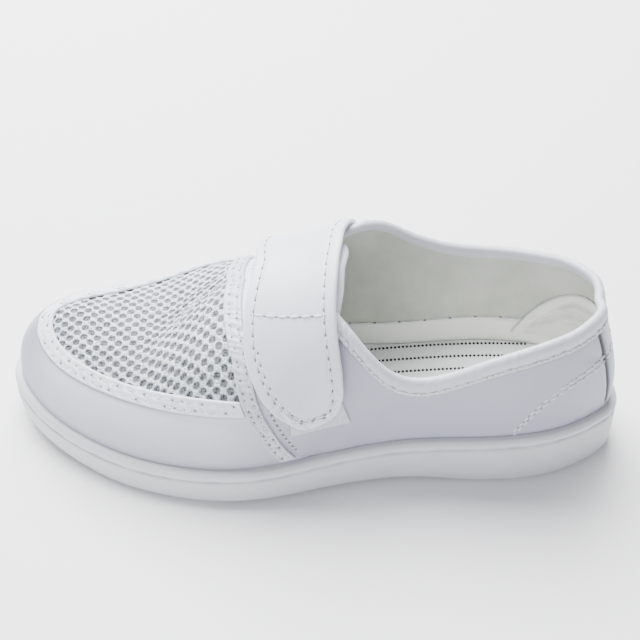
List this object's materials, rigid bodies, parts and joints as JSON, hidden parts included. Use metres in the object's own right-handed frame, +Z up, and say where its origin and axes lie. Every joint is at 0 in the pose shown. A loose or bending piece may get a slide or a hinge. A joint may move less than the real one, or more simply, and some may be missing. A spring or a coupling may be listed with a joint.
{
  "type": "antistatic safety shoe",
  "caption": "Left antistatic work shoe with a mesh vamp, a wide hook-and-loop strap over the instep, a bound collar, a tongue and a cup sole.",
  "frame": {"origin": "on the floor, under the middle of the outsole's length and width", "axes": "+Z up, +X towards the heel, -X towards the toe, +Y towards the medial side, -Y towards the lateral side"},
  "size_m": [0.285, 0.111, 0.1107],
  "materials": {
    "outsole": "satin off-white foam",
    "insole": "white twill with dark conductive thread",
    "upper": "satin white coated leather",
    "mesh_edge_trim": "soft crinkled white tape",
    "throat_band": "satin white coated leather",
    "collar_binding": "soft white coated tape",
    "strap": "satin white coated leather",
    "loop_patch": "white loop tape",
    "hook_patch": "white hook tape",
    "tongue": "padded white coated leather",
    "heel_grip": "off-white lining cloth"
  },
  "bodies": {
    "root": {"outsole": "outsole", "insole": "insole", "upper": "upper", "mesh_edge_trim": "mesh_edge_trim", "throat_band": "throat_band", "collar_binding": "collar_binding", "strap": "strap", "loop_patch": "loop_patch", "hook_patch": "hook_patch", "tongue": "tongue", "heel_grip": "heel_grip"}
  },
  "joints": []
}
